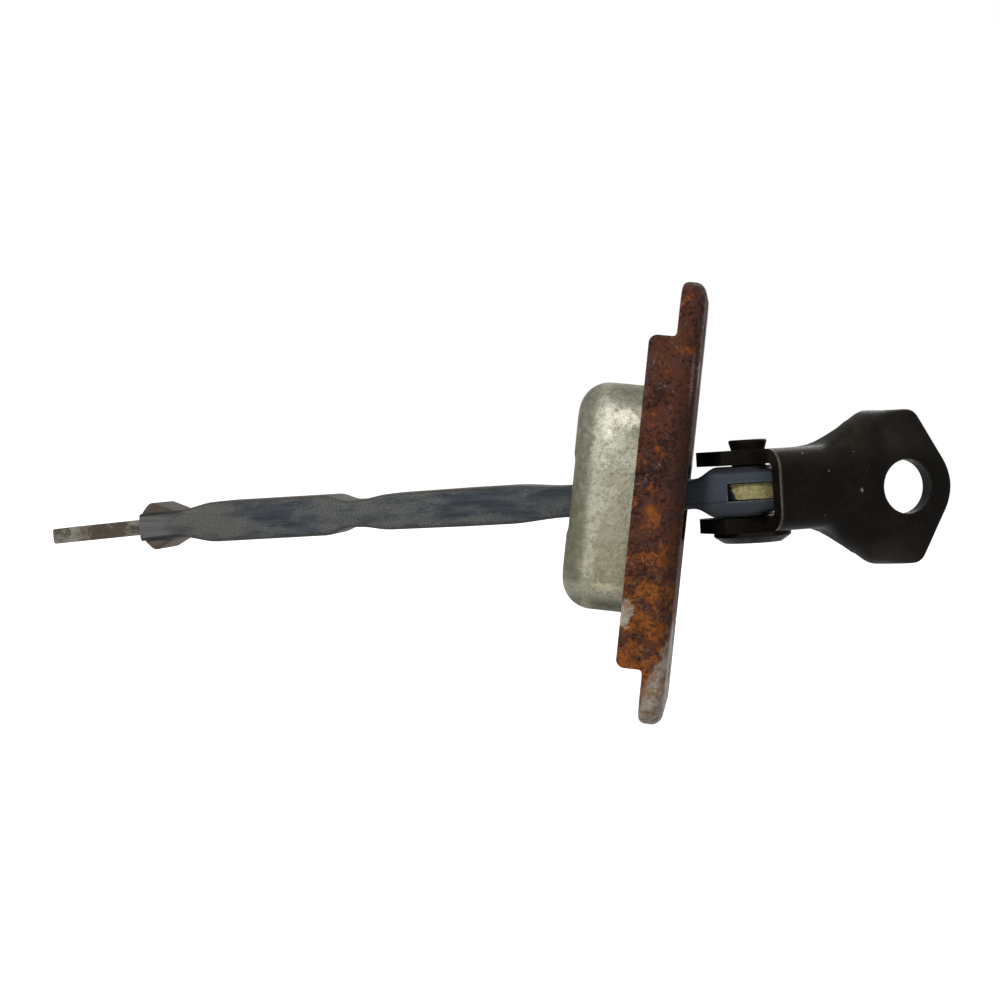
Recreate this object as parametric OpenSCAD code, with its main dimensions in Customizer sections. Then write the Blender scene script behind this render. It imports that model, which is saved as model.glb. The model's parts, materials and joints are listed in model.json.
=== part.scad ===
// Door check link: a spring-loaded roller guide in a drawn case, carried on a mounting plate,
// and a lobed, plastic-jacketed steel strap that a pivot bracket ties to the door pillar.
// Millimetres. Origin: centre of the plate's outer face. +X leaves the door towards the pillar,
// +Z runs along the hinge line, +Y is the back of the assembly.

/* [Mounting plate] */
// Length of the plate along the hinge line
plate_len = 83.8; // [82:0.2:100]
// Width of the plate
plate_w = 35; // [34:0.5:42]
// Sheet thickness of the plate
plate_t = 2.9; // [2.4:0.1:3.3]
// Corner radius of the plate
plate_corner_r = 6; // [4.5:0.5:9]
// Bend radius round the outer face
plate_edge_r = 2.2; // [1:0.1:3]
// Depth of the rim all round
rim_h = 4.6; // [4.5:0.1:5.5]
// Depth of the tall middle of the long sides
side_h = 9.6; // [8.8:0.1:12]
// Length of the tall middle of the long sides
side_len = 62.4; // [50:0.2:70]
// Corner radius of the tall sides
side_corner_r = 1.6; // [0.5:0.1:2.3]
// Radius where the tall sides meet the low rim
side_foot_r = 0.7; // [0.4:0.1:1.4]
// Height of the strap slot
slot_h = 15.2; // [14.8:0.1:18]
// Width of the strap slot
slot_w = 21.4; // [21:0.1:23]
// Distance between the two tapped holes
screw_spacing = 65; // [63:0.5:70]
// Wall radius of the tapped holes
screw_r = 2.5; // [2:0.05:3]
// Outer radius of the drawn collars round the tapped holes
collar_r = 4.5; // [4:0.1:5]
// Length of the tapped holes
collar_len = 4.4; // [4:0.1:4.5]

/* [Case] */
// Length of the case along the hinge line
case_len = 43.8; // [42:0.2:46]
// Depth of the case behind the plate's outer face
case_depth = 22; // [21:0.1:25]
// Sheet thickness of the case
case_t = 1.6; // [1.2:0.1:1.8]
// Upright corner radius of the case
case_corner_r = 8; // [6.5:0.5:10]
// Radius round the closed end of the case
case_edge_r = 5.8; // [4:0.1:6.2]
// Clearance between the case and the sides of the plate
case_gap = 0.3; // [0.1:0.05:0.6]
// Shank radius of the rivets
rivet_r = 1.5; // [1.2:0.1:1.8]

/* [Roller guide] */
// Radius of the rollers
roller_r = 2.8; // [2.4:0.1:3]
// Length of the rollers
roller_len = 15; // [12:0.5:15.4]
// Radius of the roller axles
axle_r = 1.2; // [0.9:0.1:1.4]
// Radial play of the rollers on their axles
axle_play = 0.05; // [0.02:0.01:0.09]
// Room between the rollers and the thickest lobe
roller_room = 0.15; // [0.1:0.05:0.3]
// Length of the roller carriers along the strap
carrier_len = 11.2; // [9:0.2:11.6]
// Width of the roller carriers
carrier_w = 18; // [17.6:0.1:18.6]
// Radius of the rounded backs of the carriers
carrier_back_r = 11.2; // [11:0.1:12]
// Thickness of the spring seats over the carriers' backs
seat_t = 2.7; // [2:0.1:3.2]
// Clearance between moving faces inside the case
inner_gap = 0.3; // [0.2:0.05:0.4]

/* [Strap] */
// Distance from the middle of the guide to the pivot pin with the door shut
pin_reach = 23.9; // [23.7:0.1:27]
// Tilt of the strap in the guide
strap_tilt = 9.2; // [0:0.1:9.4]
// Width of the strap over its jacket
strap_w = 17; // [15.5:0.1:17.2]
// Thickness of the jacket at the eye
eye_t = 9.6; // [9:0.1:9.7]
// Thickness of the jacket at the shut position
land_t = 6.4; // [6:0.1:7]
// Thickness of the first lobe
lobe_1_t = 7.4; // [7:0.1:7.8]
// Thickness of the half-open notch
notch_t = 5.3; // [4.4:0.1:6]
// Thickness of the second lobe
lobe_2_t = 7.9; // [7.8:0.05:8.2]
// Thickness of the full-open notch and of the side rails past it
rail_t = 5.4; // [4.6:0.1:6]
// Distance from the pin to the half-open notch
notch_s = 77; // [74:0.5:82]
// Distance from the pin to the full-open notch
open_s = 112.4; // [108:0.1:118]
// Width of the steel core
core_w = 13; // [11:0.5:14]
// Thickness of the steel core
core_t = 3; // [2.4:0.1:3.4]
// Radius of the core's eye
core_eye_r = 7.4; // [6.5:0.1:8]
// Length of the bare tail of the core
tail_len = 19.3; // [12:0.1:26]
// Downward bend of the tail
tail_bend = 2.6; // [0:0.1:3]
// Thickness over the end stopper
stopper_t = 10; // [9:0.1:10.6]
// Width of the end stopper
stopper_w = 14.6; // [14:0.1:15]
// Length of the end stopper
stopper_len = 6.7; // [6:0.1:10]

/* [Pivot] */
// Turn of the bracket about the pin
bracket_turn = 28; // [0:1:60]
// Sheet thickness of the bracket
bracket_t = 2.8; // [2.4:0.1:3.2]
// Clearance between the strap's eye and each ear
ear_gap = 0.3; // [0.2:0.05:0.6]
// Outer bend radius of the bracket
bend_r = 4.5; // [3.6:0.1:5]
// Distance from the pin to the outer face of the web
web_n = 11.5; // [11.4:0.1:13]
// Reach of the ears past the pin, away from the web
ear_back = 8.5; // [7.6:0.1:8.7]
// Reach of the ears past the pin, towards the door
ear_front = 8.5; // [7.6:0.1:8.7]
// Radius of the ears' outer corners
ear_corner_r = 4; // [3.6:0.1:5]
// Half height of the bracket at its shoulders
shoulder_h = 15; // [13.5:0.1:16]
// Rounding of the shoulders' corners
shoulder_r = 3; // [2:0.1:4]
// Start of the flare, from the pin
flare_s = 10.5; // [10:0.1:12]
// Length of the flare
flare_len = 12.3; // [10:0.1:13]
// Distance from the pin to the bolt hole
bolt_s = 28.1; // [28:0.1:32]
// Offset of the bolt end below the strap's middle
bolt_drop = 1; // [0:0.1:1.4]
// Radius of the bolt hole
bolt_r = 5.25; // [4.2:0.05:5.6]
// Radius of the nose round the bolt hole
nose_r = 9.8; // [9:0.1:10.5]
// Shank radius of the pivot pin
pin_r = 3.3; // [2.8:0.1:3.6]
// Radial play of the pin in its bush
pin_play = 0.06; // [0.02:0.01:0.09]
// Wall of the bush in the eye
bush_wall = 1; // [0.7:0.1:1.4]
// Radius of the pin's forged head
pin_head_r = 7.45; // [5.5:0.05:8]
// Thickness of the pin's forged head
pin_head_t = 2.1; // [1.4:0.1:2.6]
// Radius of the pin's riveted end
pin_end_r = 3.75; // [3.7:0.05:4.4]

/* [Hidden] */

$fn = 96;
over = 1;              // extra length of a cutter past the faces it cuts
press = 0.02;          // radial room of a part that is pressed or peened in
moulded = 0.04;        // room between the core, the stopper and the plastic moulded round them
mouth = 0.5;           // countersink at the mouth of a tapped hole
core_corner_r = 2;     // rounding of the tail's corners
flange_corner_r = 3;   // corners of the case's flange
spring_hole_r = 2;     // holes down through the rubber springs
rivet_sink = 1.1;      // depth of the rivets' countersinks
rivet_dome_r = 3.4;    // ball radius of the rivets' domed ends
rivet_edge = 5;        // from the rivets to the long edges of the case's flange
lobe_1_fall = 7.5;     // run from the first lobe down to the half-open notch
lobe_2_rise = 5.5;       // run from that notch up to the second lobe
lobe_2_fall = 8;       // run from the second lobe down to the full-open notch
window_s = 4.3;        // reach of the jacket's open window past the pin, away from the pillar
window_gap = 0.2;      // room between the window and the core, above and below
ear_step = 6.3;        // from the web's outer face back to the near edge of the ears' fronts
shoulder_lead = 2.3;   // from the bolt hole on to the corners of the shoulders
pin_end_len = 2;       // length of the pin's riveted end

case_w = plate_w - 2 * plate_t - 2 * case_gap;
case_inner = case_depth - case_t;
guide_x = -(plate_t + case_inner) / 2;
flange_len = screw_spacing - 2 * collar_r - 2 * case_gap;
rivet_z = (case_len + flange_len) / 4;
rivet_y = case_w / 2 - rivet_edge;

lobe_max = max(lobe_1_t, lobe_2_t, land_t);
roller_z = lobe_max / 2 + roller_room + roller_r;
carrier_face = max(roller_z - roller_r + 1.2, stopper_t / 2 + inner_gap);
seat_in_r = carrier_back_r + inner_gap;
seat_r = (case_inner - plate_t) / 2 - inner_gap;
seat_top = seat_in_r + seat_t;
seat_low = seat_in_r - seat_t;

bush_r = pin_r + pin_play + bush_wall;
stopper_s = open_s + 0.8;
jacket_end = stopper_s + stopper_len;
tail_end = jacket_end + tail_len;

half_h = eye_t / 2 + ear_gap + bracket_t;
flare_end = flare_s + flare_len;
shoulder_s = bolt_s + shoulder_lead;
web_s = 0.2;
ear_near = web_n - ear_step;

// ---------------------------------------------------------------- placing

// Sketches drawn in XY with their depth along Z, stood in the YZ plane with the depth along X
module facing_out() rotate([90, 0, 90]) children();

// The same, with the depth running into the door
module facing_in() mirror([1, 0, 0]) facing_out() children();

// Middle of the guide, square to the plate
module at_guide() translate([guide_x, 0, 0]) children();

// Middle of the guide, along the strap
module along_strap() at_guide() rotate([0, -strap_tilt, 0]) children();

// Pivot pin's axis: X along the strap towards the pillar, Z up the pin
module at_pin() along_strap() translate([pin_reach, 0, 0]) children();

// Above and below the strap
module upper() children();
module lower() mirror([0, 0, 1]) children();

// ---------------------------------------------------------------- shared forms

module rounded_rect(a, b, r) {
    square([a - 2 * r, b], center = true);
    square([a, b - 2 * r], center = true);
    for (x = [-1, 1], y = [-1, 1])
        translate([x * (a / 2 - r), y * (b / 2 - r)]) circle(r);
}

// Section of a drawn rim: corner radius c wide, h high, its top edge rounded by e
module rim_section(h, c, e) {
    square([c, h - e]);
    square([c - e, h]);
    translate([c - e, h - e]) intersection() {
        circle(e);
        square(e);
    }
}

// Block a by b by h with upright corners of radius c and its top edge rounded by e
module drawn_block(a, b, h, c, e) {
    in_a = a / 2 - c;
    in_b = b / 2 - c;
    for (x = [0, 1], y = [0, 1]) mirror([x, 0, 0]) mirror([0, y, 0])
        translate([in_a, in_b, 0]) rotate_extrude(angle = 90) rim_section(h, c, e);
    for (x = [0, 1]) mirror([x, 0, 0])
        translate([in_a, in_b, 0]) rotate([90, 0, 0]) linear_extrude(2 * in_b) rim_section(h, c, e);
    for (y = [0, 1]) mirror([0, y, 0])
        translate([-in_a, in_b, 0]) rotate([90, 0, 90]) linear_extrude(2 * in_a) rim_section(h, c, e);
    translate([-in_a, -in_b, 0]) cube([2 * in_a, 2 * in_b, h]);
}

// Square-cornered stock beyond a corner rounded by r, the corner at the origin
module corner_cutter(r) difference() {
    translate([-over, -over]) square(r + over);
    translate([r, r]) circle(r);
}

// Strap slot, with rounded corners
module slot_cutter(depth) linear_extrude(depth) rounded_rect(slot_w, slot_h, 1.5);

module rivet_places() for (y = [-1, 1], z = [-1, 1]) translate([y * rivet_y, z * rivet_z, 0]) children();

// ---------------------------------------------------------------- mounting plate

// Side view of the plate: low rim from end to end, tall in the middle
module plate_side_view() {
    low = side_h - rim_h;
    half = side_len / 2;
    r = side_corner_r;
    foot = side_foot_r;
    translate([-plate_len / 2, low]) square([plate_len, rim_h]);
    translate([-half, r]) square([side_len, side_h - r]);
    translate([-half + r, 0]) square([side_len - 2 * r, side_h]);
    for (end = [-1, 1]) {
        translate([end * (half - r), r]) circle(r);
        translate([end * half, low]) difference() {
            translate([end > 0 ? 0 : -foot, -foot]) square([foot, foot + over]);
            translate([end * foot, -foot]) circle(foot);
        }
    }
}

module mounting_plate() color("#5d3324")
    translate([-side_h, 0, 0]) facing_out() difference() {
        union() {
            intersection() {
                difference() {
                    drawn_block(plate_w, plate_len, side_h, plate_corner_r, plate_edge_r);
                    translate([0, 0, -over]) drawn_block(plate_w - 2 * plate_t, plate_len - 2 * plate_t,
                        side_h - plate_t + over, plate_corner_r - plate_t, case_gap);
                }
                translate([plate_w, 0, 0]) rotate([90, 0, -90]) linear_extrude(2 * plate_w) plate_side_view();
            }
            for (z = [-1, 1]) translate([0, z * screw_spacing / 2, side_h - collar_len])
                cylinder(h = collar_len - plate_t / 2, r = collar_r);
        }
        translate([0, 0, side_h - plate_t - over]) slot_cutter(plate_t + 2 * over);
        for (z = [-1, 1]) translate([0, z * screw_spacing / 2, 0]) {
            cylinder(h = side_h + over, r = screw_r);
            translate([0, 0, side_h - mouth]) cylinder(h = mouth, r1 = screw_r, r2 = screw_r + mouth);
        }
        rivet_places() translate([0, 0, side_h]) rivet_solid(press);
    }

// ---------------------------------------------------------------- case

module case_inside(room) drawn_block(case_w - 2 * case_t - 2 * room, case_len - 2 * case_t - 2 * room,
    case_inner - plate_t - room, case_corner_r - case_t - room, case_edge_r - case_t - room);

module case_cup() color("#9a977f")
    translate([-plate_t, 0, 0]) facing_in() difference() {
        union() {
            drawn_block(case_w, case_len, case_depth - plate_t, case_corner_r, case_edge_r);
            linear_extrude(case_t) rounded_rect(case_w, flange_len, flange_corner_r);
        }
        case_inside(0);
        translate([0, 0, case_inner - plate_t - over]) slot_cutter(case_t + 2 * over);
        rivet_places() translate([0, 0, -over]) cylinder(h = case_t + 2 * over, r = rivet_r + press);
    }

// Countersunk rivet: flush in the plate's outer face at z = 0, domed behind the case's flange
module rivet_solid(room) {
    grip = plate_t + case_t;
    translate([0, 0, -grip]) cylinder(h = grip, r = rivet_r + room);
    translate([0, 0, -rivet_sink])
        cylinder(h = rivet_sink, r1 = rivet_r + room, r2 = rivet_r + rivet_sink + room);
}

module case_rivets() color("#6e5a48") facing_out() rivet_places() {
    rivet_solid(0);
    translate([0, 0, -plate_t - case_t]) mirror([0, 0, 1]) intersection() {
        cylinder(h = rivet_sink, r = rivet_r + 1);
        translate([0, 0, rivet_sink - rivet_dome_r]) sphere(rivet_dome_r);
    }
}

// ---------------------------------------------------------------- spring-loaded guide

// Rubber block that fills the case's end and holds the seat down
module rubber_spring() color("#26262a") intersection() {
    translate([-plate_t - press, 0, 0]) facing_in() case_inside(inner_gap / 2);
    translate([guide_x, 0, seat_top + inner_gap / 2]) difference() {
        translate([-case_depth / 2, -case_w / 2, 0]) cube([case_depth, case_w, case_len / 2]);
        for (y = [-1, 1]) translate([0, y * case_w / 4, -over]) cylinder(h = case_len / 2, r = spring_hole_r);
    }
}

// Round seat that turns with the strap's swing; its hollow underside guides the carrier's back
module spring_seat() color("#b9b6a8") at_guide() difference() {
    translate([0, 0, seat_low]) cylinder(h = seat_top - seat_low, r = seat_r);
    rotate([90, 0, 0]) cylinder(h = case_w, r = seat_in_r, center = true);
}

// Block with a rounded back that rocks in the seat and holds the roller's axle
module roller_carrier() color("#d8d4c0") difference() {
    intersection() {
        translate([-carrier_len / 2, -carrier_w / 2, carrier_face]) cube([carrier_len, carrier_w, seat_in_r]);
        rotate([90, 0, 0]) cylinder(h = carrier_w + over, r = carrier_back_r, center = true);
    }
    translate([0, 0, roller_z]) rotate([90, 0, 0]) {
        cylinder(h = roller_len + 2 * inner_gap, r = roller_r + inner_gap, center = true);
        cylinder(h = carrier_w + 2 * over, r = axle_r + press, center = true);
    }
}

module roller() color("#5b5b60") translate([0, 0, roller_z]) rotate([90, 0, 0]) difference() {
    cylinder(h = roller_len, r = roller_r, center = true);
    cylinder(h = roller_len + 2 * over, r = axle_r + axle_play, center = true);
}

module axle() color("#a8a8ac") translate([0, 0, roller_z]) rotate([90, 0, 0])
    cylinder(h = carrier_w - 0.4, r = axle_r, center = true);

// ---------------------------------------------------------------- strap

// Distance from the pin and half thickness of the jacket, where its shape changes
jacket_knots = [
    [-strap_w / 2, 3.6], [-3.8, 4.0], [1.2, eye_t / 2 - 0.05], [6.2, eye_t / 2], [10.8, 2.75],
    [16, land_t / 2], [31, land_t / 2], [35.5, land_t / 2 - 0.2], [46, lobe_1_t / 2],
    [52, lobe_1_t / 2], [notch_s - lobe_1_fall, lobe_1_t / 2 - 0.2], [notch_s - 1, notch_t / 2],
    [notch_s + 1, notch_t / 2], [notch_s + lobe_2_rise, lobe_2_t / 2], [open_s - lobe_2_fall, lobe_2_t / 2],
    [open_s - 0.4, rail_t / 2], [jacket_end, rail_t / 2]
];

function ease(f) = (1 - cos(180 * f)) / 2;
function steps_after(i) =
    abs(jacket_knots[i][1] - jacket_knots[i + 1][1]) < 0.01 ? 1 : i == 0 ? 7 : 6;

// Half width of the jacket: round about the pin, then straight
function jacket_half_w(s) = s < 0 ? sqrt(max(strap_w * strap_w / 4 - s * s, 1)) : strap_w / 2;

// Drop of the bent tail below the strap's line
function tail_drop(s) = s < open_s ? 0 : (s - open_s) * tan(tail_bend);

// Stations along the jacket: [distance, half width, half thickness, drop]
jacket_stations = [
    for (i = [0:len(jacket_knots) - 2]) let (a = jacket_knots[i], b = jacket_knots[i + 1], n = steps_after(i))
        for (k = [0:n - (i == len(jacket_knots) - 2 ? 0 : 1)])
            let (s = a[0] + (b[0] - a[0]) * (i == 0 ? 1 - cos(90 * k / n) : k / n))
                [s, jacket_half_w(s), a[1] + (b[1] - a[1]) * ease((s - a[0]) / (b[0] - a[0])), tail_drop(s)]
];

// Rounded-rectangle ring of the jacket at one station
edge_r = 1.1;
edge_steps = 4;
function jacket_ring(st) = [
    for (q = [0:3], k = [0:edge_steps])
        let (r = min(edge_r, st[1] * 0.8), a = 90 * (q + k / edge_steps),
             cy = (q == 0 || q == 3 ? 1 : -1) * (st[1] - r), cz = (q < 2 ? 1 : -1) * (st[2] - r))
            [-st[0], cy + r * cos(a), cz + r * sin(a) - st[3]]
];

// Closed skin through rings of equal length
module loft(rings) {
    n = len(rings[0]);
    last = len(rings) - 1;
    points = [for (ring = rings, p = ring) p];
    sides = [
        for (i = [0:last - 1], k = [0:n - 1])
            let (a = i * n + k, b = i * n + (k + 1) % n)
                for (face = [[a, b, b + n], [a, b + n, a + n]]) face
    ];
    // Each end is closed by a strip between the two halves of its ring
    first_cap = [
        for (k = [0:n / 2 - 2])
            for (face = [[k + 1, k, n - 1 - k], [k + 1, n - 1 - k, n - 2 - k]]) face
    ];
    last_cap = [for (face = first_cap) [for (k = [2:-1:0]) last * n + face[k]]];
    polyhedron(points, concat(sides, first_cap, last_cap), convexity = 6);
}

// Frame of the bent tail, from the full-open notch outwards
module at_tail() translate([-open_s, 0, 0]) rotate([0, -tail_bend, 0]) children();

// Side view of the bar: straight to the full-open notch, then bent down to the tail's end
module core_view(half_t) {
    bend_shift = half_t * tan(tail_bend / 2);
    tail = tail_end - open_s;
    drop = tail * sin(tail_bend);
    reach = tail * cos(tail_bend);
    polygon([
        [0, -half_t], [-open_s - bend_shift, -half_t],
        [-open_s - reach - half_t * sin(tail_bend), -drop - half_t * cos(tail_bend)],
        [-open_s - reach + half_t * sin(tail_bend), -drop + half_t * cos(tail_bend)],
        [-open_s + bend_shift, half_t], [0, half_t]
    ]);
}

// Steel bar with its round eye
module core_solid(room) {
    half_t = core_t / 2 + room;
    half_w = core_w / 2 + room;
    cylinder(h = 2 * half_t, r = core_eye_r + room, center = true);
    difference() {
        rotate([90, 0, 0]) linear_extrude(2 * half_w, center = true) core_view(half_t);
        for (y = [0, 1]) mirror([0, y, 0]) at_tail()
            translate([open_s - tail_end, -half_w, -core_t])
                linear_extrude(2 * core_t) corner_cutter(core_corner_r);
    }
}

module strap_core() color("#8d8778") at_pin() difference() {
    core_solid(0);
    cylinder(h = core_t + 2 * over, r = bush_r + press, center = true);
}

// Side view of the stopper: ramp up from the notch, short flat, steep end
module stopper_view(room) {
    s0 = stopper_s - open_s;
    s1 = s0 + stopper_len;
    h0 = rail_t / 2;
    h1 = stopper_t / 2;
    ramp_end = -s0 - 0.66 * stopper_len;
    steep_start = -s1 + 0.3 * stopper_len;
    polygon([
        [-s0 + room, -h0 - room], [ramp_end, -h1 - room], [steep_start, -h1 - room], [-s1 - room, -h0 - room],
        [-s1 - room, h0 + room], [steep_start, h1 + room], [ramp_end, h1 + room], [-s0 + room, h0 + room]
    ]);
}

module stopper_solid(room) at_tail()
    rotate([90, 0, 0]) linear_extrude(stopper_w + 2 * room, center = true) stopper_view(room);

module end_stopper() color("#4a4840") at_pin() difference() {
    stopper_solid(0);
    core_solid(moulded);
}

module strap_jacket() color("#3f464e") at_pin() difference() {
    loft([for (st = jacket_stations) jacket_ring(st)]);
    core_solid(moulded);
    stopper_solid(moulded);
    cylinder(h = eye_t + 2 * over, r = bush_r + moulded, center = true);
    translate([-window_s, -strap_w, -core_t / 2 - window_gap])
        cube([strap_w, 2 * strap_w, core_t + 2 * window_gap]);
}

module eye_bush() color("#8a7a4a") at_pin() difference() {
    cylinder(h = eye_t, r = bush_r, center = true);
    cylinder(h = eye_t + 2 * over, r = pin_r + pin_play, center = true);
}

// ---------------------------------------------------------------- pivot bracket

// Frame of the bracket: X from the pin to the bolt, Y up the pin, Z out of the web
module at_bracket() at_pin() rotate([0, 0, bracket_turn]) rotate([90, 0, 0]) children();

// Where the straight edge from a shoulder touches the nose's arc
shoulder_dir = [shoulder_s - bolt_s, shoulder_h];
touch_angle = atan2(shoulder_dir[1], shoulder_dir[0]) - acos(nose_r / norm(shoulder_dir));
touch_s = bolt_s + nose_r * cos(touch_angle);

// Rounded corner between the shoulder and the straight edge
shoulder_turn = 90 - touch_angle;
round_start = shoulder_s - shoulder_r * tan(shoulder_turn / 2);
round_end = round_start + shoulder_r * sin(shoulder_turn);

// Half height of the bracket: neck, flare, shoulder, rounded corner, straight edge, round nose
function bracket_half(s) =
    s < flare_s ? half_h
    : s < flare_end ? half_h + (shoulder_h - half_h) * ease((s - flare_s) / flare_len)
    : s < round_start ? shoulder_h
    : s < round_end ? shoulder_h - shoulder_r + sqrt(shoulder_r * shoulder_r - pow(s - round_start, 2))
    : s < touch_s ? shoulder_h - (s - shoulder_s) / tan(touch_angle)
    : sqrt(nose_r * nose_r - pow(s - bolt_s, 2));

// How far the flanges reach back: full depth at the ears, running out at the shoulders
taper_s = 4;
taper_len = flare_end - 1.8 - taper_s;
function fade(s, from, length) = ease(min(max((s - from) / length, 0), 1));
function bracket_bend(s) = bend_r - (bend_r - 0.4) * fade(s, flare_end, shoulder_s - flare_end);
function bracket_back(s, inner_r) = min(
    -ear_back + (web_n + ear_back) * fade(s, taper_s, taper_len),
    web_n - bracket_t - inner_r - 0.05);

// U-shaped section at one station: outer skin over the web, then the inner skin back
bend_steps = 5;
function bracket_ring(s) =
    let (h = bracket_half(s), r = min(bracket_bend(s), h / 2), lip = min(bracket_t, h * 0.4),
         inner_r = min(max(r - bracket_t, 0.2), h * 0.2), back = bracket_back(s, inner_r),
         outer = [for (k = [0:bend_steps]) let (a = 90 * k / bend_steps)
             [h - r + r * cos(a), web_n - r + r * sin(a)]],
         inner = [for (k = [0:bend_steps]) let (a = 90 * k / bend_steps)
             [h - lip - inner_r + inner_r * cos(a), web_n - bracket_t - inner_r + inner_r * sin(a)]],
         half = concat([[h, back]], outer),
         half_in = concat([[h - lip, back]], inner))
    [for (p = concat(half, mirrored(half), half_in_order(half_in)))
        [s, p[0] - bolt_drop * fade(s, flare_s, bolt_s - flare_s), p[1]]];
function mirrored(list) = [for (i = [len(list) - 1:-1:0]) [-list[i][0], list[i][1]]];
function half_in_order(list) = concat(
    [for (p = list) [-p[0], p[1]]],
    [for (i = [len(list) - 1:-1:0]) list[i]]);

// Stations from the nose to the ears
nose_steps = 6;
nose_end = bolt_s + nose_r * cos(5);
bracket_stations = concat(
    [for (k = [0:nose_steps]) bolt_s + nose_r * cos(5 + (touch_angle - 5) * k / nose_steps)],
    [for (k = [0:4]) round_start + shoulder_r * sin(shoulder_turn * (1 - k / 4))],
    [for (k = [1:4]) round_start - (round_start - flare_end) * k / 4],
    [for (k = [1:14]) flare_end - flare_len * k / 14],
    [(flare_s + taper_s) / 2, taper_s, web_s, -ear_front]
);

module pivot_bracket() color("#2b2722") at_bracket() difference() {
    loft([for (s = bracket_stations) bracket_ring(s)]);
    translate([0, half_h + over, 0]) rotate([90, 0, 0]) linear_extrude(2 * half_h + 2 * over) {
        translate([-ear_front, -ear_back]) corner_cutter(ear_corner_r);
        translate([-ear_front - over, ear_near]) square([ear_front + web_s + over, web_n]);
    }
    translate([bolt_s, -bolt_drop, web_n - bracket_t - over]) cylinder(h = bracket_t + 2 * over, r = bolt_r);
    rotate([90, 0, 0]) cylinder(h = 2 * half_h + 2 * over, r = pin_r + press, center = true);
}

// Pin: forged head below, shank through both ears, riveted end above
module pivot_pin() color("#1d1c1b") at_pin() rotate_extrude() polygon([
    [0, -half_h - pin_head_t], [0.75 * pin_head_r, -half_h - pin_head_t],
    [pin_head_r, -half_h - 0.4 * pin_head_t], [pin_head_r, -half_h], [pin_r, -half_h],
    [pin_r, half_h + 0.1 * pin_end_len], [pin_end_r, half_h + 0.85 * pin_end_len],
    [pin_end_r - 0.3, half_h + pin_end_len], [0, half_h + pin_end_len]
]);

mounting_plate();
case_cup();
case_rivets();
upper() rubber_spring();  // upper_rubber_spring
lower() rubber_spring();  // lower_rubber_spring
upper() spring_seat();  // upper_spring_seat
lower() spring_seat();  // lower_spring_seat
along_strap() upper() roller_carrier();  // upper_roller_carrier
along_strap() lower() roller_carrier();  // lower_roller_carrier
along_strap() upper() roller();  // upper_roller
along_strap() lower() roller();  // lower_roller
along_strap() upper() axle();  // upper_axle
along_strap() lower() axle();  // lower_axle
strap_core();
strap_jacket();
end_stopper();
eye_bush();
pivot_bracket();
pivot_pin();
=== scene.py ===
"""Door check link: finished meshes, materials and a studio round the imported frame."""

import json
import math

import bmesh
import bpy
from bpy.props import FloatProperty, FloatVectorProperty, PointerProperty
from mathutils import Matrix, Vector

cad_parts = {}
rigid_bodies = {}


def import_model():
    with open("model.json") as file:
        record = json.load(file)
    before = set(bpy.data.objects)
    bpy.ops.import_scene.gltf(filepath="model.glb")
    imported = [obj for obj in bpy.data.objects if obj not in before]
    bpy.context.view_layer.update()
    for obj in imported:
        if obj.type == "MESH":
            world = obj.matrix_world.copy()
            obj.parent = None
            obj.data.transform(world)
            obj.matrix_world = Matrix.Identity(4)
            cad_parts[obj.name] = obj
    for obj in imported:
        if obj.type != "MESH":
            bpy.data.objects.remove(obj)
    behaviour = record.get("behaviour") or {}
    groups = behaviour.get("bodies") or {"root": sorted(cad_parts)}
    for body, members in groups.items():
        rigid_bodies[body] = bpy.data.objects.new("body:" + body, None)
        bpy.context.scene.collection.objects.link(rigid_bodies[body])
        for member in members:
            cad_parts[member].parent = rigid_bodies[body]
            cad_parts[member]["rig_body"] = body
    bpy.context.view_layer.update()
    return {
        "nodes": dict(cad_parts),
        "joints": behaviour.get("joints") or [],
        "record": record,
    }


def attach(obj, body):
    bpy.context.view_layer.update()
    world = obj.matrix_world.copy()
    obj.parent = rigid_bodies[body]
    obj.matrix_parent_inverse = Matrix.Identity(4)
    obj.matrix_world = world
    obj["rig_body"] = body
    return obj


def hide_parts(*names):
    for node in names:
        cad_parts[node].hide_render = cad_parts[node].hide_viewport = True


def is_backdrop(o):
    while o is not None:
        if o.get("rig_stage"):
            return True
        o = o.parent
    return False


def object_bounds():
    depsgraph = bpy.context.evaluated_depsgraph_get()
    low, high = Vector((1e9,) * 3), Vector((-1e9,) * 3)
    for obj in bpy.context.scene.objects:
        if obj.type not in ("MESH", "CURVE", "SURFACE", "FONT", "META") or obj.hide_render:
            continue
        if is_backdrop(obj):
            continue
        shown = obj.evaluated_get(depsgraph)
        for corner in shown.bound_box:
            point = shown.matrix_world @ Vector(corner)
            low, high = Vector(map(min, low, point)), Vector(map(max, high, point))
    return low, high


bl_info = {
    "name": "Door check link",
    "version": (1, 0, 0),
    "blender": (4, 5, 0),
    "location": "View3D > Sidebar > Check Link",
    "description": "Dresses the door check link's frame with worn metal and plastic",
    "category": "Object",
}

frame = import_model()
MM = 0.001


# -------- directions of the frame

def unit(values):
    return Vector(values).normalized()


def joint(name):
    return next(j for j in frame["joints"] if j["name"] == name)


PIN = Vector(joint("bracket_pivot")["pos_m"])
ALONG = unit(joint("strap_slide")["axis"])  # along the strap, towards the pillar
UP = unit(joint("bracket_pivot")["axis"])  # up the pivot pin
BOLT = next(m for m in frame["record"]["mounts"] if m["kind"] == "bore")
WEB_OUT = unit(BOLT["axis"])  # out of the bracket's web
WEB_ALONG = UP.cross(WEB_OUT)  # from the pin to the bolt hole


def middle_of(verts):
    return sum((v.co for v in verts), Vector()) / len(verts)


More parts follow.
